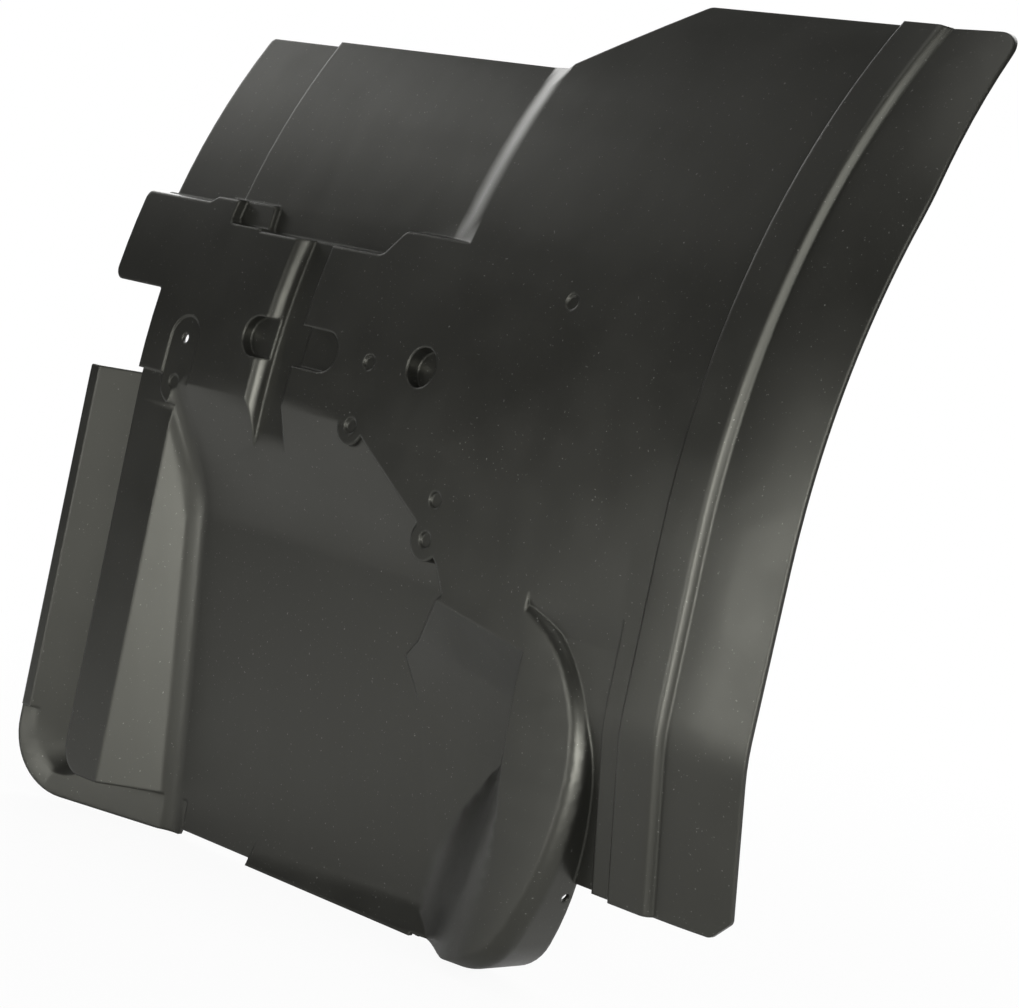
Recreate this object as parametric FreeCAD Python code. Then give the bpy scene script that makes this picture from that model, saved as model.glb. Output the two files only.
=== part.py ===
import FreeCAD
import Part
import math
import os

from FreeCAD import Vector

# One-piece moulded mudguard for the rear quarter of a truck's front wheel arch.
# X runs along the wheel's axis, towards the outer side of the vehicle.
# Y points from the outer face towards the wheel, and Z points up.
# While it is modelled, Z starts near the lower edge. At the end the moulding is
# moved so that the mouth of the bolt hole is the origin. All sizes are in millimetres.

WALL = 3.5

# Depth that the cutting tools reach to the front and the back, and their lower end
FRONT = -160.0
BACK = 320.0
LOW = -60.0

# Arch profile: a straight lower run, an arc over the tyre, and a tucked outer lower end
ARCH_R = 615.0
LEAN = math.radians(4.5)
TANGENT_Z = 350.0
TANGENT_Y = 12.0
ARCH_END = math.radians(52.0)
TUCK_R = 150.0
TUCK = math.radians(7.3)
TUCK_TOP_Z = 235.0

# Outline, seen from the front
LEFT_X = -37.0
RIGHT_X = 752.0
LOW_RIGHT_X = 747.0
TOP_RIGHT_X = 737.0
NARROW_Z = 600.0
TOP_Z = 719.0
FLANGE_TOP_Z = 722.0
BEAD_END_RISE = 2.5
SHEET_TOP_Z = 660.0
SHEET_LEFT_X = -23.0
SHEET_LEFT_DROP = 4.0
SHOULDER_X = 450.0
FLANGE_LOW_Z = 97.0
FLOOR_LOW_Z = 16.0
SILL_LOW_Z = 11.0
SILL_RIGHT_X = 136.0
LIP_LOW_Z = 12.0
LIP_LEFT_X = 225.0
GUTTER_TOP_Z = 368.0
ZONE_LEFT_X = 26.0
TAB_LEFT_X = -39.0
TAB_LOW_Z = 441.0
CORNER_R = 18.0

# Stepped-back upper sheet
SHEET_DEPTH = 15.0
SHEET_STEP_X = 66.0
SHEET_STEP = 1.5
BAND_FOOT_X = 323.0
BAND_HEAD_X = 362.0
TAB_TOP_Z = 516.0
LEDGE_Z = 500.0
LEDGE_HIGH_Z = 521.0
TAB_STEP_X = 44.0
TAB_STEP_RUN = 9.0
NOTCH_LEFT_X = 116.0
NOTCH_LEFT_RUN = 4.0
NOTCH_RIGHT_X = 272.0
NOTCH_RIGHT_RUN = 16.0
LEDGE_EDGE_R = 4.0

# Stiffening bead and outer flange
MARGIN_X = 620.0
FLANGE_TOP_WIDTH = 57.0
BEAD_WIDTH = 38.0
BEAD_RIGHT_X = TOP_RIGHT_X - FLANGE_TOP_WIDTH
BEAD_LEFT_X = BEAD_RIGHT_X - BEAD_WIDTH
BEAD_HEIGHT = 7.0
BEAD_DRAFT = 1.5
BEAD_SHOULDER = 6.0
FLANGE_BEND_X = 684.0
FLANGE_DROP = 6.0

# Recess with its sloping sides
FLOOR_Y = 38.0
RECESS_TOP_Z = 372.0
RECESS_BEND_Z = 285.0
RECESS_BEND_R = 150.0
FACET_BLEND_R = 28.0
STRIP_RIGHT_X = 75.0
STRIP_DEPTH = 5.0
STRIP_TOP_Z = 375.0
STRIP_LOW_Z = 40.0

# Gutter along the inner side
GUTTER_LIP = 11.0
GUTTER_SLOPE = 34.0
GUTTER_DEPTH = 26.0
GUTTER_CORNER_R = 44.0
STRIP_CORNER_R = 24.0

# Tongue beside the recess, and the pocket between it and the bead
POCKET_DEPTH = 8.0
POCKET_TOP_Z = 278.0
POCKET_RAMP = 24.0
TONGUE_EDGE_R = 15.0

# The tongue's flank as (height, foot, head), and two planes of the wing at its upper end
TONGUE_LEFT_X = 380.0
TONGUE_FLANK = [
    (LOW, 428, 520), (50, 434, 542), (95, 448, 546), (140, 480, 540), (180, 504, 533), (310, 506, 531)]
WING_TOP = [(436, 6, 262), (515, 5, 249), (390, FLOOR_Y, 214)]
WING_LOW = [(418, 30, 223), (499, 27, 212), (483, FLOOR_Y, 147)]
WING_PLAN = [(376, 212), (437, 270), (531, 255), (531, 100), (440, 100)]
RECESS_RIM = [
    (296, 378), (316, 363), (392, 316), (424, 289), (437, 268), (512, 256), (590, 246), (590, LOW + 5)]
LIP_FOLD_Z = 31.0
LIP_FOLD = 8.0

# Bracket channel with its cross slot
CHANNEL_X = 195.0
CHANNEL_WIDTH = 38.0
CHANNEL_EDGE_R = 12.5
CHANNEL_DEPTH = 13.5
SLOT_LEFT_X = 146.0
SLOT_RIGHT_X = 262.0
SLOT_Z = 420.0
SLOT_HEIGHT = 32.0
SLOT_DEPTH = 9.0

# Holes, pads and dimples
BOLT_X = 75.0
BOLT_Z = 406.0
BOLT_D = 8.0
PAD_R = 18.0
PAD_DROP = 36.0
PAD_SINK = 1.2
CUP_X = 359.0
CUP_Z = 425.0
CUP_D = 31.0
CUP_DEPTH = 12.0
DIMPLE_D = 12.0
DIMPLE_DEPTH = 2.0
UPPER_PAD = (299.0, 371.0, 15.0)
LOWER_PAD = (407.0, 304.0, 16.0)
DIMPLES = [
    (301, 420), (488, 493), (409, 334), UPPER_PAD[:2], LOWER_PAD[:2], (BOLT_X - 1, BOLT_Z - PAD_DROP)]
SCOOP_LEFT_X = 80.0
SCOOP_DEPTH = 9.0
SIDE_HOLE_Y = 24.0
SIDE_HOLE_Z = 85.0
SIDE_HOLE_D = 7.0

# Rounded edges start this far in front of the surface, which leaves a fine edge line
EDGE_LIFT = 0.6


def arch_y(z, depth=0.0):
    """Y of the main profile at height z, that far behind the front face."""
    r = ARCH_R - depth
    yc = TANGENT_Y + ARCH_R * math.cos(LEAN)
    zc = TANGENT_Z - ARCH_R * math.sin(LEAN)
    if z > zc + r * math.sin(LEAN):
        return yc - math.sqrt(r * r - (z - zc) ** 2)
    return yc - r * math.cos(LEAN) + (z - zc - r * math.sin(LEAN)) * math.tan(LEAN)


def on_arc(centre, r, angle):
    return Vector(0, centre[0] - r * math.cos(angle), centre[1] + r * math.sin(angle))


def arch_section(x, depth, side, tucked=False):
    """Closed wire at x: the arch profile on one edge and the plane y = side on the other."""
    r = ARCH_R - depth
    centre = (TANGENT_Y + ARCH_R * math.cos(LEAN), TANGENT_Z - ARCH_R * math.sin(LEAN))
    tangent = on_arc(centre, r, LEAN)
    end = on_arc(centre, r, ARCH_END)
    edges = []
    if tucked:
        join_y = TANGENT_Y - (TANGENT_Z - TUCK_TOP_Z) * math.tan(LEAN)
        low_c = (join_y + TUCK_R * math.cos(LEAN), TUCK_TOP_Z - TUCK_R * math.sin(LEAN))
        tuck_r = TUCK_R - depth
        join = on_arc(low_c, tuck_r, LEAN)
        knee = on_arc(low_c, tuck_r, -TUCK)
        foot = Vector(0, knee.y + (knee.z - LOW) * math.tan(TUCK), LOW)
        edges.append(Part.makeLine(foot, knee))
        edges.append(Part.Arc(knee, on_arc(low_c, tuck_r, (LEAN - TUCK) / 2), join).toShape())
        edges.append(Part.makeLine(join, tangent))
    else:
        foot = Vector(0, tangent.y - (tangent.z - LOW) * math.tan(LEAN), LOW)
        edges.append(Part.makeLine(foot, tangent))
    edges.append(Part.Arc(tangent, on_arc(centre, r, (LEAN + ARCH_END) / 2), end).toShape())
    edges.append(Part.makeLine(end, Vector(0, side, end.z)))
    edges.append(Part.makeLine(Vector(0, side, end.z), Vector(0, side, LOW)))
    edges.append(Part.makeLine(Vector(0, side, LOW), foot))
    wire = Part.Wire(edges)
    wire.translate(Vector(x, 0, 0))
    return wire


def arch_slab(x0, x1, depth, side, tucked=False):
    return Part.Face(arch_section(x0, depth, side, tucked)).extrude(Vector(x1 - x0, 0, 0))


def arch_ramp(x0, depth0, x1, depth1, side, tucked=False):
    ends = [arch_section(x0, depth0, side, tucked), arch_section(x1, depth1, side, tucked)]
    return Part.makeLoft(ends, True, True)


def rounded(points):
    """Closed wire in the XZ plane through (x, z, corner radius)."""
    edges = []
    last = None
    count = len(points)
    corners = []
    for i in range(count):
        here = Vector(points[i][0], 0, points[i][1])
        before = Vector(points[i - 1][0], 0, points[i - 1][1])
        after = Vector(points[(i + 1) % count][0], 0, points[(i + 1) % count][1])
        r = points[i][2]
        if r <= 0:
            corners.append((here, here, here))
            continue
        u = (before - here).normalize()
        v = (after - here).normalize()
        half = u.getAngle(v) / 2
        reach = r / math.tan(half)
        middle = (u + v).normalize() * (r / math.sin(half) - r)
        corners.append((here + u * reach, here + middle, here + v * reach))
    for i in range(count):
        start, middle, stop = corners[i]
        if last is not None and (start - last).Length > 1e-6:
            edges.append(Part.makeLine(last, start))
        if (stop - start).Length > 1e-6:
            edges.append(Part.Arc(start, middle, stop).toShape())
        last = stop
    if (corners[0][0] - last).Length > 1e-6:
        edges.append(Part.makeLine(last, corners[0][0]))
    return Part.Wire(edges)


def prism(wire, grow=0.0, join=2):
    """Outline taken through the whole depth, first made larger by grow."""
    face = Part.Face(wire)
    if grow:
        face = face.makeOffset2D(grow, join=join)
    face.translate(Vector(0, FRONT, 0))
    return face.extrude(Vector(0, BACK - FRONT, 0))


def box(x0, x1, z0, z1):
    return Part.makeBox(x1 - x0, BACK - FRONT, z1 - z0, Vector(x0, FRONT, z0))


def on_panel(x, z, depth):
    """Point that far behind the front face at (x, z), and the direction into the panel."""
    lean = LEAN
    if z > TANGENT_Z:
        lean = math.asin((z - TANGENT_Z + ARCH_R * math.sin(LEAN)) / ARCH_R)
    inward = Vector(0, math.cos(lean), -math.sin(lean))
    return Vector(x, arch_y(z), z) + inward * depth, inward


def pin(x, z, d, depth):
    """Round tool square to the panel at (x, z), from well in front of it to that depth."""
    start, inward = on_panel(x, z, -100)
    return Part.makeCylinder(d / 2, 100 + depth, start, inward)


def lean_prism(points, z0, z1, grow):
    """Outline in x and depth, taken up the straight lower run of the arch."""
    face = Part.Face(Part.makePolygon([Vector(x, d, 0) for x, d in points + points[:1]]))
    if grow:
        face = face.makeOffset2D(grow, join=2)
    face.translate(Vector(0, arch_y(z0), z0))
    return face.extrude(Vector(0, (z1 - z0) * math.tan(LEAN), z1 - z0))


def front_edges(solid, depth, keep):
    """Edges of the front face, where keep says so for their middle."""
    found = []
    for edge in solid.Edges:
        middle = edge.valueAt((edge.FirstParameter + edge.LastParameter) / 2)
        ends = [edge.valueAt(edge.FirstParameter), edge.valueAt(edge.LastParameter)]
        if max(abs(p.y - arch_y(p.z, depth)) for p in ends + [middle]) < 0.01 and keep(middle):
            found.append(edge)
    return found


def sheet_cut(off):
    """What is taken off in front of the upper sheet, down to its ledge."""
    plan = rounded([
        (2 * FRONT, TOP_Z, 0), (2 * FRONT, TAB_TOP_Z, 0), (TAB_STEP_X, TAB_TOP_Z, 5),
        (TAB_STEP_X + TAB_STEP_RUN, LEDGE_HIGH_Z, 5), (NOTCH_LEFT_X, LEDGE_HIGH_Z, 4),
        (NOTCH_LEFT_X + NOTCH_LEFT_RUN, LEDGE_Z, 4), (NOTCH_RIGHT_X, LEDGE_Z, 9),
        (NOTCH_RIGHT_X + NOTCH_RIGHT_RUN, LEDGE_HIGH_Z, 9), (SHOULDER_X + 50, LEDGE_HIGH_Z, 0),
        (SHOULDER_X + 50, TOP_Z, 0)])
    top = off - EDGE_LIFT
    left = FRONT - 40
    right = SHOULDER_X + 30
    under = box(left, right, TAB_LOW_Z - 140, TOP_Z - 29).cut(prism(plan, off))
    under = under.common(arch_slab(left, right, top, BACK))
    if LEDGE_EDGE_R > off + 1:
        rim_high_z = LEDGE_HIGH_Z + 39
        edges = front_edges(
            under, top, lambda p: TAB_LOW_Z < p.z < rim_high_z and left + 10 < p.x < right - 10)
        under = under.makeFillet(LEDGE_EDGE_R - off, edges)
    step_x = SHEET_STEP_X + off
    run = BAND_HEAD_X - BAND_FOOT_X
    over = 14.0
    head = off - SHEET_DEPTH * over / run
    front = arch_slab(left + 20, step_x, SHEET_DEPTH + SHEET_STEP + off, FRONT)
    front = front.fuse(arch_slab(step_x, BAND_FOOT_X, SHEET_DEPTH + off, FRONT))
    front = front.fuse(arch_ramp(BAND_FOOT_X, SHEET_DEPTH + off, BAND_HEAD_X + over, head, FRONT))
    return front.common(box(left + 10, right - 10, TAB_LOW_Z - 1, TOP_Z + 81)).cut(under)


def bead(off):
    """Raised band that follows the tucked profile, with a rounded outer shoulder."""
    left = BEAD_LEFT_X + off
    right = BEAD_RIGHT_X - off
    top = off - BEAD_HEIGHT
    foot = off + 3
    line = [
        (left - BEAD_DRAFT, foot), (left, top + 1), (left + BEAD_DRAFT, top), (right - BEAD_SHOULDER, top),
        (right - BEAD_SHOULDER / 2, top + BEAD_SHOULDER / 8),
        (right - BEAD_SHOULDER / 8, top + BEAD_SHOULDER / 2), (right + BEAD_DRAFT, foot)]
    ramps = [arch_ramp(*line[i], *line[i + 1], BACK, True) for i in range(len(line) - 1)]
    return ramps[0].fuse(ramps[1:])


def flange(off):
    """Outer flange, which curves away behind the panel."""
    width = RIGHT_X - FLANGE_BEND_X
    sections = []
    for share in (0.0, 0.35, 0.7, 1.0, 1.3):
        x = FLANGE_BEND_X + share * width
        sections.append(arch_section(x, off + FLANGE_DROP * share ** 2, BACK, True))
    return Part.makeLoft(sections, True, False)


def gutter_cut(off):
    """Gutter down the inner side, which turns under the strip into a sill."""
    slope = GUTTER_SLOPE / GUTTER_DEPTH
    back_off = off * math.sqrt(1 + slope * slope)
    wires = []
    for depth in (-GUTTER_DEPTH, GUTTER_DEPTH + off):
        inset = depth * slope - back_off
        left = LEFT_X + GUTTER_LIP + inset
        low = SILL_LOW_Z + inset
        right = ZONE_LEFT_X + 4 * GUTTER_SLOPE
        wire = rounded([
            (left, low, GUTTER_CORNER_R - inset * 0.8), (left, GUTTER_TOP_Z + 5, 0),
            (right, GUTTER_TOP_Z + 5, 0), (right, low, 0)])
        wire.translate(Vector(0, depth, 0))
        wires.append(wire)
    side = Part.makeLoft(wires, True, True)
    side = side.common(box(2 * LEFT_X - 60, ZONE_LEFT_X + 8, LOW, GUTTER_TOP_Z + 40))
    side.rotate(Vector(), Vector(1, 0, 0), -math.degrees(LEAN))
    side.translate(Vector(0, arch_y(0), 0))
    sill_depth = FLOOR_Y - arch_y(FLOOR_LOW_Z)
    sill_x = STRIP_RIGHT_X + sill_depth + 12
    lip_x = LEFT_X + GUTTER_LIP
    sill = lean_prism([
        (lip_x - 34, -60), (lip_x - 34, -6), (sill_x, sill_depth), (sill_x, -60)],
        LOW, STRIP_LOW_Z + 40, off)
    block = rounded([
        (ZONE_LEFT_X, STRIP_LOW_Z, STRIP_CORNER_R), (ZONE_LEFT_X, TAB_LOW_Z, 0),
        (2 * sill_x, TAB_LOW_Z, 0), (2 * sill_x, STRIP_LOW_Z, 0)])
    return side.fuse(sill).cut(prism(block, -off))


def strip_cut(off):
    front = arch_slab(ZONE_LEFT_X - 12, STRIP_RIGHT_X + 6 + off, STRIP_DEPTH + off, FRONT)
    pad = rounded([
        (BOLT_X - PAD_R, BOLT_Z + 60, 0), (BOLT_X - PAD_R, BOLT_Z - PAD_DROP - PAD_R, PAD_R - 0.01),
        (BOLT_X + PAD_R, BOLT_Z - PAD_DROP - PAD_R, PAD_R - 0.01), (BOLT_X + PAD_R, BOLT_Z + 60, 0)])
    front = front.common(box(ZONE_LEFT_X - 12, STRIP_RIGHT_X + 6 + off, LOW, STRIP_TOP_Z + off))
    return front.cut(prism(pad, -off))


def tongue_slope(off):
    """Soft flank between the recess floor and the tongue, as material."""
    sections = []
    for z, foot_x, head_x in TONGUE_FLANK:
        y0 = FLOOR_Y + off * 1.06
        y1 = arch_y(z, off)
        run = head_x - foot_x
        start = Vector(foot_x - 0.25 * run, y0 + 3, z)
        stop = Vector(head_x + 0.25 * run, y1 - 4, z)
        curve = Part.BezierCurve()
        curve.setPoles([
            start, Vector(foot_x + 0.4 * run, y0 - 3, z), Vector(head_x - 0.5 * run, y1 + 2, z), stop])
        right = MARGIN_X + 40
        edges = [curve.toShape()]
        edges.append(Part.makeLine(stop, Vector(right, stop.y, z)))
        edges.append(Part.makeLine(Vector(right, stop.y, z), Vector(right, BACK, z)))
        edges.append(Part.makeLine(Vector(right, BACK, z), Vector(start.x, BACK, z)))
        edges.append(Part.makeLine(Vector(start.x, BACK, z), start))
        sections.append(Part.Wire(edges))
    return Part.makeLoft(sections, True, False)


def behind(points, off):
    """Block behind the plane through three points, set back by off."""
    a, b, c = [Vector(p) for p in points]
    inward = (b - a).cross(c - a).normalize()
    if inward.y < 0:
        inward = inward * -1
    block = Part.makeBox(4 * BACK, 4 * BACK, BACK)
    block.translate(Vector(-2 * BACK, -2 * BACK, 0))
    turn = FreeCAD.Rotation(Vector(0, 0, 1), inward)
    block.Placement = FreeCAD.Placement(a + inward * off, turn) * block.Placement
    return block


def recess_cut(off):
    """What is taken out of the panel over the recess floor."""
    fall = (FLOOR_Y - arch_y(RECESS_TOP_Z)) / (RECESS_TOP_Z - RECESS_BEND_Z)
    floor = FLOOR_Y + off
    bend_z = RECESS_BEND_Z - off * fall / 2
    head_z = RECESS_TOP_Z + 70
    head_y = floor - (head_z - bend_z) * fall
    side = [(FRONT, LOW), (floor, LOW), (floor, bend_z), (head_y, head_z), (FRONT, head_z)]
    left = ZONE_LEFT_X + 4
    wire = Part.makePolygon([Vector(left, y, z) for y, z in side + side[:1]])
    solid = Part.Face(wire).extrude(Vector(MARGIN_X - left, 0, 0))
    solid = solid.makeFillet(RECESS_BEND_R, edges_near(solid, floor, bend_z))
    shift = STRIP_DEPTH + off * math.sqrt(2)
    reach = 2 * STRIP_RIGHT_X
    facet = lean_prism([
        (STRIP_RIGHT_X - reach, shift - reach), (STRIP_RIGHT_X + reach, shift + reach),
        (STRIP_RIGHT_X + reach, 4 * reach), (STRIP_RIGHT_X - reach, 4 * reach)], LOW, head_z, 0)
    solid = solid.cut(facet)
    blend = []
    for edge in solid.Edges:
        middle = edge.valueAt((edge.FirstParameter + edge.LastParameter) / 2)
        depth = middle.y - arch_y(LOW) - (middle.z - LOW) * math.tan(LEAN)
        on_facet = abs(middle.x - STRIP_RIGHT_X - depth + shift) < 0.05
        if on_facet and LOW + 1 < middle.z < head_z - 1 and middle.x > left + 1:
            blend.append(edge)
    solid = solid.makeFillet(FACET_BLEND_R, blend)
    rim = [(left, LOW + 5), (left, head_z - 12), (UPPER_PAD[0] - 3, head_z - 12)]
    solid = solid.common(prism(rounded([(x, z, 0) for x, z in rim + RECESS_RIM]), off))
    solid = solid.cut(tongue_slope(off))
    wing = prism(rounded([(x, z, 0) for x, z in WING_PLAN]), -off)
    for plane in (WING_TOP, WING_LOW):
        solid = solid.cut(behind(plane, off).common(wing))
    lip_end_z = 3 * LIP_LOW_Z - 2 * LIP_FOLD_Z
    lip = [
        (floor, LIP_FOLD_Z), (floor - LIP_FOLD, LIP_LOW_Z), (floor - 3 * LIP_FOLD, lip_end_z),
        (BACK, lip_end_z), (BACK, LIP_FOLD_Z)]
    fold = Part.makePolygon([Vector(LIP_LEFT_X + 2 * WALL, y, z) for y, z in lip + lip[:1]])
    solid = solid.cut(Part.Face(fold).extrude(Vector(MARGIN_X - LIP_LEFT_X, 0, 0)))
    for x, z, r in (UPPER_PAD, LOWER_PAD):
        solid = solid.cut(pin(x, z, 2 * (r - off), 100))
    return solid


def edges_near(solid, y, z):
    """Edges along X whose middle lies at (y, z)."""
    found = []
    for edge in solid.Edges:
        middle = edge.CenterOfMass
        if abs(middle.y - y) < 0.01 and abs(middle.z - z) < 0.01:
            found.append(edge)
    return found


def tongue_plan():
    """Outline of the tongue. Its second edge is the lower part of the outer wall."""
    top = Vector(524, 0, 284)
    right = Vector(606, 0, 165)
    low = Vector(571, 0, 46)
    foot = Vector(526, 0, 18)
    heel = Vector(TONGUE_LEFT_X, 0, LIP_LOW_Z)
    head = Vector(TONGUE_LEFT_X, 0, 340)
    edges = [
        Part.Arc(top, Vector(584, 0, 240), right).toShape(),
        Part.Arc(right, Vector(596, 0, 104), low).toShape(),
        Part.Arc(low, Vector(553, 0, 27), foot).toShape(),
        Part.makeLine(foot, heel),
        Part.makeLine(heel, head),
        Part.makeLine(head, Vector(top.x, 0, head.z)),
        Part.makeLine(Vector(top.x, 0, head.z), top)]
    return Part.Wire(edges)


def pocket_cut(off):
    """What is taken out round the tongue, down to the pocket floor, which ramps up to the panel."""
    top = off - EDGE_LIFT
    tongue = prism(tongue_plan(), -off, 0).common(arch_slab(TONGUE_LEFT_X - 80, MARGIN_X + 80, top, BACK))
    edges = front_edges(tongue, top, lambda p: p.x > TONGUE_LEFT_X + 15 and p.z < 300)
    tongue = tongue.makeFillet(TONGUE_EDGE_R - off, edges)
    left = TONGUE_LEFT_X + 50
    front = arch_slab(left, MARGIN_X + off, POCKET_DEPTH + off, FRONT, True)
    front = front.common(box(left, MARGIN_X + off, LOW + 5, POCKET_TOP_Z + POCKET_RAMP))
    high = POCKET_TOP_Z + POCKET_RAMP / 2
    low = POCKET_TOP_Z - POCKET_RAMP / 2
    ramp = [
        (left, arch_y(low) + POCKET_DEPTH, low), (left + 100, arch_y(low) + POCKET_DEPTH, low),
        (left, arch_y(high), high)]
    return front.cut(behind(ramp, off)).cut(tongue)


def channel_cut(off):
    left = CHANNEL_X - CHANNEL_WIDTH / 2 - off
    right = CHANNEL_X + CHANNEL_WIDTH / 2 + off
    top = off - EDGE_LIFT
    bank = box(left - 60, left, 250, 560).common(arch_slab(left - 60, left, top, BACK))
    edges = front_edges(bank, top, lambda p: abs(p.x - left) < 0.01)
    bank = bank.makeFillet(CHANNEL_EDGE_R - off, edges)
    front = arch_slab(left - 30, right, CHANNEL_DEPTH + off, FRONT)
    front = front.common(box(left - 30, right, 300, LEDGE_Z + 12)).cut(bank)
    end_r = SLOT_HEIGHT / 2 - 0.01
    low = SLOT_Z - SLOT_HEIGHT / 2
    high = SLOT_Z + SLOT_HEIGHT / 2
    slot = rounded([
        (SLOT_LEFT_X, low, end_r), (SLOT_RIGHT_X, low, end_r),
        (SLOT_RIGHT_X, high, end_r), (SLOT_LEFT_X, high, end_r)])
    cross = prism(slot, off).common(arch_slab(100, 300, SLOT_DEPTH + off, FRONT))
    return front.fuse(cross)


def small_cuts(off):
    """Cup, dimples, the sunk pad round the bolt and the scooped end of the raised ledge."""
    cuts = [pin(CUP_X, CUP_Z, CUP_D + 2 * off, CUP_DEPTH + off)]
    for x, z in DIMPLES:
        cuts.append(pin(x, z, DIMPLE_D + 2 * off, DIMPLE_DEPTH + off))
    pad_low = BOLT_Z - PAD_DROP - PAD_R
    pad_high = BOLT_Z + PAD_R
    pad = rounded([
        (BOLT_X - PAD_R, pad_low, PAD_R - 0.01), (BOLT_X + PAD_R, pad_low, PAD_R - 0.01),
        (BOLT_X + PAD_R, pad_high, PAD_R - 0.01), (BOLT_X - PAD_R, pad_high, PAD_R - 0.01)])
    cuts.append(prism(pad, off).common(arch_slab(BOLT_X - 60, BOLT_X + 60, PAD_SINK + off, FRONT)))
    scoop = rounded([
        (SCOOP_LEFT_X, LEDGE_Z + 2, 6), (SCOOP_LEFT_X + 60, LEDGE_Z + 2, 0),
        (SCOOP_LEFT_X + 60, LEDGE_Z + 45, 0), (SCOOP_LEFT_X, LEDGE_Z + 45, 6)])
    front = arch_slab(SCOOP_LEFT_X - 40, SCOOP_LEFT_X + 100, SCOOP_DEPTH + off, FRONT)
    cuts.append(prism(scoop, off).common(front))
    return cuts


def tab_cut(off):
    """Space round the tab and the edge below it, which gives them side walls."""
    inner_x = ZONE_LEFT_X + off
    plan = rounded([
        (-120, GUTTER_TOP_Z + 5, 0), (inner_x, GUTTER_TOP_Z + 5, 0), (inner_x, TAB_LOW_Z + off, 4),
        (TAB_LEFT_X + off, TAB_LOW_Z + off, 7), (TAB_LEFT_X + off, 560, 0), (-120, 560, 0)])
    return prism(plan).common(arch_slab(-150, 60, SHEET_DEPTH + off, FRONT))


def mould(off):
    """Everything behind the surface that lies off behind the outer face."""
    body = arch_slab(-250, MARGIN_X - 8, off, BACK)
    body = body.fuse(arch_slab(MARGIN_X - 8, FLANGE_BEND_X, off, BACK, True))
    body = body.fuse(flange(off))
    body = body.fuse(bead(off))
    for cutter in (sheet_cut, gutter_cut, strip_cut, recess_cut, pocket_cut, channel_cut):
        body = body.cut(cutter(off))
    return body.cut(small_cuts(off))


def outline():
    """The moulding's outline from the front."""
    sheet_left_z = SHEET_TOP_Z - SHEET_LEFT_DROP
    bead_z = TOP_Z + BEAD_END_RISE
    return rounded([
        (LEFT_X, FLOOR_LOW_Z - 2, GUTTER_CORNER_R + GUTTER_LIP), (LEFT_X, GUTTER_TOP_Z, 2),
        (ZONE_LEFT_X, GUTTER_TOP_Z, 0), (ZONE_LEFT_X, TAB_LOW_Z, 2), (TAB_LEFT_X, TAB_LOW_Z, 10),
        (TAB_LEFT_X, TAB_TOP_Z + 1, 8), (SHEET_LEFT_X, TAB_TOP_Z + 1, 0), (SHEET_LEFT_X, sheet_left_z, 4),
        (SHEET_STEP_X, sheet_left_z, 0), (SHEET_STEP_X, SHEET_TOP_Z, 0), (BAND_HEAD_X - 6, SHEET_TOP_Z, 0),
        (SHOULDER_X, TOP_Z, 12), (BEAD_LEFT_X - 3, TOP_Z, 2), (BEAD_LEFT_X, bead_z, 2),
        (BEAD_RIGHT_X - 4, bead_z, 3), (BEAD_RIGHT_X + 2, TOP_Z + 1, 2),
        (TOP_RIGHT_X, FLANGE_TOP_Z, CORNER_R), (RIGHT_X, NARROW_Z, 200),
        (LOW_RIGHT_X, FLANGE_LOW_Z + 14, 6), (LOW_RIGHT_X - 16, FLANGE_LOW_Z, 6),
        (MARGIN_X + 20, FLANGE_LOW_Z, 0), (MARGIN_X + 20, LIP_LOW_Z, 0), (LIP_LEFT_X, LIP_LOW_Z, 0),
        (LIP_LEFT_X, FLOOR_LOW_Z, 0), (SILL_RIGHT_X, FLOOR_LOW_Z, 0), (SILL_RIGHT_X - 2, SILL_LOW_Z, 1)])


def side_hole():
    """Fixing hole square to the tongue's outer wall."""
    wall = tongue_plan().Edges[1]
    level = Part.makeLine(Vector(TONGUE_LEFT_X, 0, SIDE_HOLE_Z), Vector(MARGIN_X + 80, 0, SIDE_HOLE_Z))
    point = wall.distToShape(level)[1][0][0]
    centre = wall.Curve.Center
    outward = (point - centre).normalize()
    start = Vector(point.x, SIDE_HOLE_Y, point.z) - outward * 12
    return Part.makeCylinder(SIDE_HOLE_D / 2, 24, start, outward)


outer = mould(0.0).common(prism(outline()))
below = box(TONGUE_LEFT_X + 54, MARGIN_X + 40, LOW, FLANGE_LOW_Z)
outer = outer.cut(below.cut(prism(tongue_plan())))
inner = mould(WALL).cut(tab_cut(WALL))
shell = outer.cut(inner)
shell = shell.cut([pin(BOLT_X, BOLT_Z, BOLT_D, 60), side_hole()])
seat, inward = on_panel(BOLT_X, BOLT_Z, PAD_SINK)
shell.translate(seat * -1)
os.makedirs("parts", exist_ok=True)
shell.exportStep("parts/mudguard.step")
print("valid", shell.isValid(), "solids", len(shell.Solids), "volume", shell.Volume)
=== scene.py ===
import math

import bmesh
import bpy
from mathutils import Matrix, Vector

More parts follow.
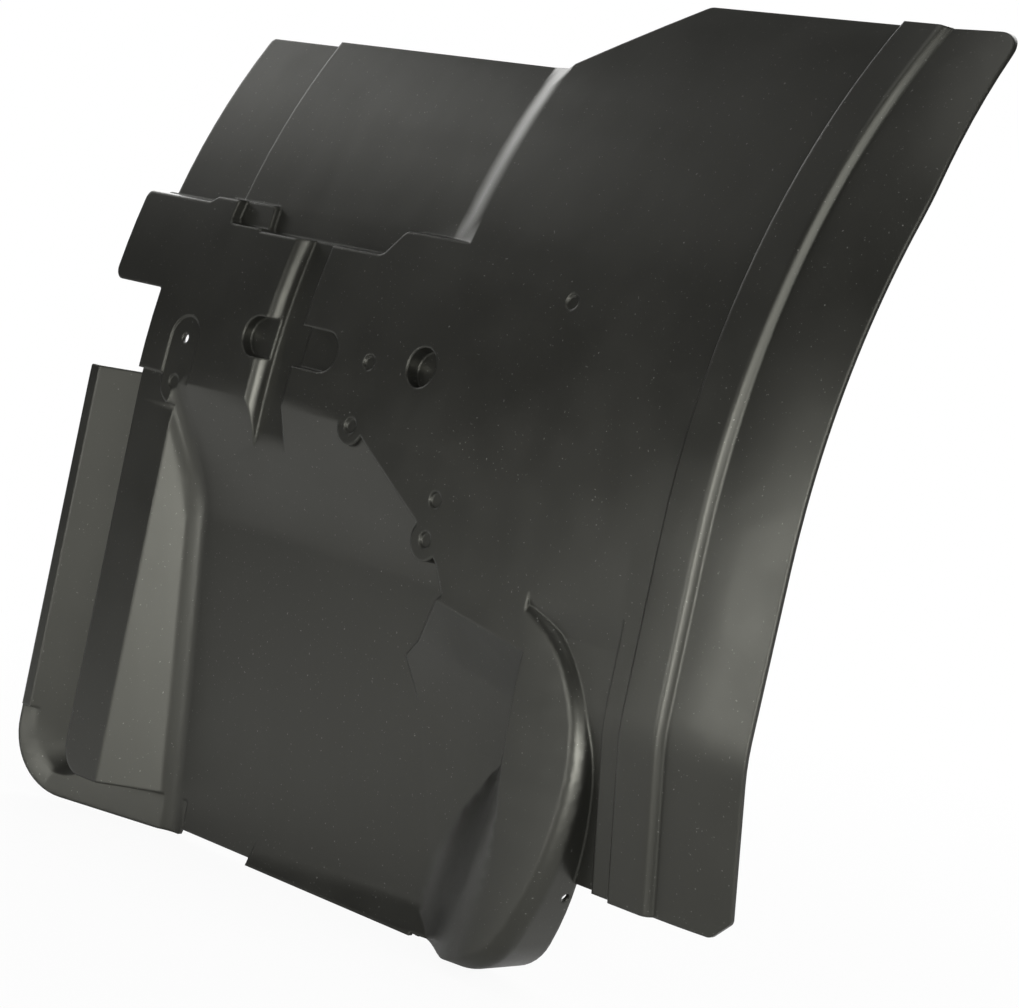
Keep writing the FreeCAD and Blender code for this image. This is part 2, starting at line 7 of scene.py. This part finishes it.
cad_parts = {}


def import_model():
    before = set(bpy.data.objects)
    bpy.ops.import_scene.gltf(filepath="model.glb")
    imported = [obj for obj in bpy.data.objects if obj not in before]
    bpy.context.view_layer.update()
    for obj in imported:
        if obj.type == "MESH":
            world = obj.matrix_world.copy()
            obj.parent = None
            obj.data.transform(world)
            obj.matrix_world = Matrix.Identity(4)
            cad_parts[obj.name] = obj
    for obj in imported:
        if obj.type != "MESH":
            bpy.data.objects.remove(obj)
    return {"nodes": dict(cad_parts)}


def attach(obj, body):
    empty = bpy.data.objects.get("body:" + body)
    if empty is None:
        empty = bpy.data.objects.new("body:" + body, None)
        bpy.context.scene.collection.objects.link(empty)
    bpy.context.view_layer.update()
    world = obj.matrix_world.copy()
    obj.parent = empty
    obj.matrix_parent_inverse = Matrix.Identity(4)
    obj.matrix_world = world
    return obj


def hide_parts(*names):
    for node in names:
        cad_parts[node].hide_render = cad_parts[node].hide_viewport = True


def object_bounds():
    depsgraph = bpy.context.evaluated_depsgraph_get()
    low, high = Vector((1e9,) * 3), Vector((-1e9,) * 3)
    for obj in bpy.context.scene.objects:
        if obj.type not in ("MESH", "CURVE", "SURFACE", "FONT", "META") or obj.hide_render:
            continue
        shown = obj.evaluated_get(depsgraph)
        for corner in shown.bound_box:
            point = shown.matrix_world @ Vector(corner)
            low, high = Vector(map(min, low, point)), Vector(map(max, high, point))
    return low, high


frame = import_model()
cad_low, cad_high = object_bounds()

# All lengths are in metres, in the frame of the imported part.

# Camera: the photograph's place, angle and lens
CAMERA_AT = (2.0390, -1.5562, 0.1774)
CAMERA_AZIMUTH = math.radians(46.445)
CAMERA_ELEVATION = math.radians(6.047)
CAMERA_ROLL = math.radians(8.732)
CAMERA_LENS_MM = 112.465
SENSOR_MM = 36.0

# Skin of the moulding
MERGE = 1e-5
SHARP_ANGLE = math.radians(28)
EDGE_ROUND = 0.0030
EDGE_SAMPLES = 6

# Black plastic: each noise is a scale per metre and a detail
PLASTIC_DARK = (0.0060, 0.0060, 0.0052, 1)
PLASTIC_PALE = (0.0095, 0.0095, 0.0083, 1)
PLASTIC_SHEEN = (1.0, 1.0, 0.88, 1)
PLASTIC_IOR = 1.55
ROUGHNESS = (0.30, 0.38)
CLOUD_NOISE = (7.0, 4.0)
SHEEN_NOISE = (18.0, 5.0)
SHEEN_LIMITS = (0.3, 0.7)
DUST_COLOUR = (0.16, 0.16, 0.15, 1)
DUST_NOISE = (520.0, 1.0)
DUST_LIMITS = (0.73, 0.79)
DUST_COVER = 0.6
WAVE_NOISE = (34.0, 1.5)
WAVE_STRETCH = (1.0, 1.0, 0.35)
WAVE_HEIGHT = 0.0012
WAVE_STRENGTH = 0.16
GRAIN_NOISE = (1400.0, 2.0)
GRAIN_HEIGHT = 0.0004
GRAIN_STRENGTH = 0.08

# Floor: the share of plain white grows with distance from the object
FLOOR_PAINT = (0.86, 0.86, 0.86, 1)
FLOOR_SIZE = 60.0
FLOOR_GAP = 0.001
FLOOR_NEAR = 0.45
FLOOR_FAR = 1.2
FLOOR_WHITE = 0.93

# Studio: each softbox has a place round the object, a size and a power
STUDIO_CENTRE = Vector((0.28, 0.05, 0.0))
WORLD_STRENGTH = 0.09
SOFTBOXES = {
    "camera_side": dict(azimuth=45, elevation=1, distance=2.9, size=(0.9, 1.3), power=66),
    "right_front": dict(azimuth=64, elevation=2, distance=2.6, size=(0.5, 1.4), power=18),
    "right": dict(azimuth=88, elevation=20, distance=2.6, size=(1.4, 1.8), power=32),
    "front": dict(azimuth=4, elevation=2, distance=2.7, size=(1.2, 1.4), power=10),
    "front_strip": dict(azimuth=-13, elevation=5, distance=2.6, size=(0.5, 1.6), power=11),
    "low_front": dict(azimuth=-24, elevation=-4, distance=2.6, size=(0.25, 0.6), power=7),
    "upper_left": dict(azimuth=-66, elevation=42, distance=2.6, size=(1.2, 1.2), power=0.8),
    "low_left": dict(azimuth=-80, elevation=27, distance=2.6, size=(0.8, 1.0), power=3.5),
    "left": dict(azimuth=-108, elevation=16, distance=2.6, size=(1.4, 1.8), power=26),
    "back": dict(azimuth=205, elevation=24, distance=2.8, size=(2.0, 2.0), power=40),
    "top": dict(azimuth=0, elevation=84, distance=2.4, size=(2.0, 2.0), power=12),
}


def skin(node):
    """The node's mesh with its CAD faces joined, so that it shades as one moulding."""
    mesh = frame["nodes"][node].data.copy()
    mesh.name = node + "_skin"
    form = bmesh.new()
    form.from_mesh(mesh)
    bmesh.ops.remove_doubles(form, verts=form.verts, dist=MERGE)
    bmesh.ops.dissolve_degenerate(form, edges=form.edges, dist=MERGE)
    for face in form.faces:
        face.smooth = True
    for edge in form.edges:
        edge.smooth = edge.calc_face_angle(0) < SHARP_ANGLE
    form.to_mesh(mesh)
    form.free()
    own_normals = mesh.attributes.get("custom_normal")
    if own_normals:
        mesh.attributes.remove(own_normals)
    piece = bpy.data.objects.new(mesh.name, mesh)
    bpy.context.scene.collection.objects.link(piece)
    normals = piece.modifiers.new("even_shading", "WEIGHTED_NORMAL")
    normals.keep_sharp = True
    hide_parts(node)
    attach(piece, "root")
    return piece


class Nodes:
    """Short way to add shader nodes and link them."""

    def __init__(self, tree):
        self.tree = tree

    def add(self, kind, **values):
        node = self.tree.nodes.new(kind)
        for name, value in values.items():
            if name in node.inputs:
                node.inputs[name].default_value = value
            else:
                setattr(node, name, value)
        return node

    def link(self, output, target):
        self.tree.links.new(output, target)


def noise(nodes, place, scale, detail):
    """Grey noise at the given place."""
    texture = nodes.add("ShaderNodeTexNoise", Scale=scale, Detail=detail)
    nodes.link(place, texture.inputs["Vector"])
    return texture.outputs["Fac"]


def remap(nodes, value, low, high, to_low, to_high):
    """Value taken from one range to another, and held at its ends."""
    ramp = nodes.add("ShaderNodeMapRange")
    ramp.inputs["From Min"].default_value = low
    ramp.inputs["From Max"].default_value = high
    ramp.inputs["To Min"].default_value = to_low
    ramp.inputs["To Max"].default_value = to_high
    nodes.link(value, ramp.inputs["Value"])
    return ramp.outputs["Result"]


def black_plastic():
    """Moulded black plastic: semi-matt and faintly cloudy, with soft waves, a fine grain and some dust."""
    material = bpy.data.materials.new("black_plastic")
    material.use_nodes = True
    tree = material.node_tree
    tree.nodes.clear()
    nodes = Nodes(tree)
    out = nodes.add("ShaderNodeOutputMaterial")
    plastic = nodes.add("ShaderNodeBsdfPrincipled", IOR=PLASTIC_IOR)
    plastic.inputs["Specular Tint"].default_value = PLASTIC_SHEEN
    nodes.link(plastic.outputs["BSDF"], out.inputs["Surface"])
    place = nodes.add("ShaderNodeTexCoord").outputs["Object"]

    cloud = noise(nodes, place, *CLOUD_NOISE)
    tint = nodes.add("ShaderNodeMix", data_type="RGBA")
    tint.inputs["A"].default_value = PLASTIC_DARK
    tint.inputs["B"].default_value = PLASTIC_PALE
    nodes.link(cloud, tint.inputs["Factor"])
    specks = noise(nodes, place, *DUST_NOISE)
    dust = nodes.add("ShaderNodeMix", data_type="RGBA")
    dust.inputs["B"].default_value = DUST_COLOUR
    nodes.link(tint.outputs["Result"], dust.inputs["A"])
    nodes.link(remap(nodes, specks, *DUST_LIMITS, 0.0, DUST_COVER), dust.inputs["Factor"])
    nodes.link(dust.outputs["Result"], plastic.inputs["Base Color"])

    sheen = noise(nodes, place, *SHEEN_NOISE)
    nodes.link(remap(nodes, sheen, *SHEEN_LIMITS, *ROUGHNESS), plastic.inputs["Roughness"])

    edge = nodes.add("ShaderNodeBevel", samples=EDGE_SAMPLES, Radius=EDGE_ROUND)
    drawn = nodes.add("ShaderNodeMapping", Scale=WAVE_STRETCH)
    nodes.link(place, drawn.inputs["Vector"])
    waves = nodes.add("ShaderNodeBump", Strength=WAVE_STRENGTH, Distance=WAVE_HEIGHT)
    nodes.link(noise(nodes, drawn.outputs["Vector"], *WAVE_NOISE), waves.inputs["Height"])
    nodes.link(edge.outputs["Normal"], waves.inputs["Normal"])
    grain = nodes.add("ShaderNodeBump", Strength=GRAIN_STRENGTH, Distance=GRAIN_HEIGHT)
    nodes.link(noise(nodes, place, *GRAIN_NOISE), grain.inputs["Height"])
    nodes.link(waves.outputs["Normal"], grain.inputs["Normal"])
    nodes.link(grain.outputs["Normal"], plastic.inputs["Normal"])
    return material


def seen_directly(nodes):
    """1 for rays from the camera, straight or through glass, else 0."""
    path = nodes.add("ShaderNodeLightPath")
    either = nodes.add("ShaderNodeMath", operation="MAXIMUM")
    nodes.link(path.outputs["Is Camera Ray"], either.inputs[0])
    nodes.link(path.outputs["Is Transmission Ray"], either.inputs[1])
    return either.outputs["Value"]


def white_floor():
    """Paint that takes the object's shadow near it and turns pure white farther off."""
    material = bpy.data.materials.new("floor_white")
    material.use_nodes = True
    tree = material.node_tree
    tree.nodes.clear()
    nodes = Nodes(tree)
    out = nodes.add("ShaderNodeOutputMaterial")
    paint = nodes.add("ShaderNodeBsdfDiffuse", Color=FLOOR_PAINT)
    white = nodes.add("ShaderNodeEmission", Color=(1, 1, 1, 1), Strength=1.0)
    mix = nodes.add("ShaderNodeMixShader")
    place = nodes.add("ShaderNodeTexCoord").outputs["Object"]
    away = nodes.add("ShaderNodeVectorMath", operation="LENGTH")
    nodes.link(place, away.inputs[0])
    share = nodes.add("ShaderNodeMath", operation="MULTIPLY")
    nodes.link(remap(nodes, away.outputs["Value"], FLOOR_NEAR, FLOOR_FAR, FLOOR_WHITE, 1.0), share.inputs[0])
    nodes.link(seen_directly(nodes), share.inputs[1])
    nodes.link(share.outputs["Value"], mix.inputs["Fac"])
    nodes.link(paint.outputs["BSDF"], mix.inputs[1])
    nodes.link(white.outputs["Emission"], mix.inputs[2])
    nodes.link(mix.outputs["Shader"], out.inputs["Surface"])
    return material


def floor():
    """Level floor just under the lowest point of the part."""
    half = FLOOR_SIZE / 2
    mesh = bpy.data.meshes.new("floor")
    corners = [(-half, -half, 0), (half, -half, 0), (half, half, 0), (-half, half, 0)]
    mesh.from_pydata(corners, [], [(0, 1, 2, 3)])
    mesh.materials.append(white_floor())
    sheet = bpy.data.objects.new("floor", mesh)
    sheet.location = (STUDIO_CENTRE.x, STUDIO_CENTRE.y, cad_low.z - FLOOR_GAP)
    bpy.context.scene.collection.objects.link(sheet)


def world():
    """White where it is seen, and an even weak light elsewhere."""
    sky = bpy.data.worlds.new("studio")
    sky.use_nodes = True
    sky.node_tree.nodes.clear()
    nodes = Nodes(sky.node_tree)
    out = nodes.add("ShaderNodeOutputWorld")
    back = nodes.add("ShaderNodeBackground", Color=(1, 1, 1, 1))
    nodes.link(remap(nodes, seen_directly(nodes), 0.0, 1.0, WORLD_STRENGTH, 1.0), back.inputs["Strength"])
    nodes.link(back.outputs["Background"], out.inputs["Surface"])
    bpy.context.scene.world = sky


def around(azimuth, elevation, distance):
    """Point round the studio's centre. Azimuth 0 is in front, towards -Y, and 90 towards +X."""
    a = math.radians(azimuth)
    e = math.radians(elevation)
    way = Vector((math.sin(a) * math.cos(e), -math.cos(a) * math.cos(e), math.sin(e)))
    return STUDIO_CENTRE + way * distance


def softbox(name, azimuth, elevation, distance, size, power):
    """Area lamp that faces the studio's centre and stays out of the picture."""
    lamp = bpy.data.lights.new(name, "AREA")
    lamp.shape = "RECTANGLE"
    lamp.size, lamp.size_y = size
    lamp.energy = power
    holder = bpy.data.objects.new(name, lamp)
    holder.location = around(azimuth, elevation, distance)
    way = STUDIO_CENTRE - holder.location
    holder.rotation_euler = way.to_track_quat("-Z", "Y").to_euler()
    holder.visible_camera = False
    bpy.context.scene.collection.objects.link(holder)


def camera():
    """Camera at the photograph's place, turned, tilted and rolled as it was."""
    lens = bpy.data.cameras.new("camera")
    lens.sensor_fit = "HORIZONTAL"
    lens.sensor_width = SENSOR_MM
    lens.lens = CAMERA_LENS_MM
    holder = bpy.data.objects.new("camera", lens)
    turn = Matrix.Rotation(CAMERA_AZIMUTH, 4, "Z")
    tilt = Matrix.Rotation(math.pi / 2 - CAMERA_ELEVATION, 4, "X")
    roll = Matrix.Rotation(CAMERA_ROLL, 4, "Z")
    holder.matrix_world = Matrix.Translation(CAMERA_AT) @ turn @ tilt @ roll
    bpy.context.scene.collection.objects.link(holder)
    bpy.context.scene.camera = holder


guard = skin("mudguard")
guard.data.materials.clear()
guard.data.materials.append(black_plastic())
floor()
world()
for name, values in SOFTBOXES.items():
    softbox(name, **values)
camera()
bpy.context.scene.view_settings.view_transform = "Standard"
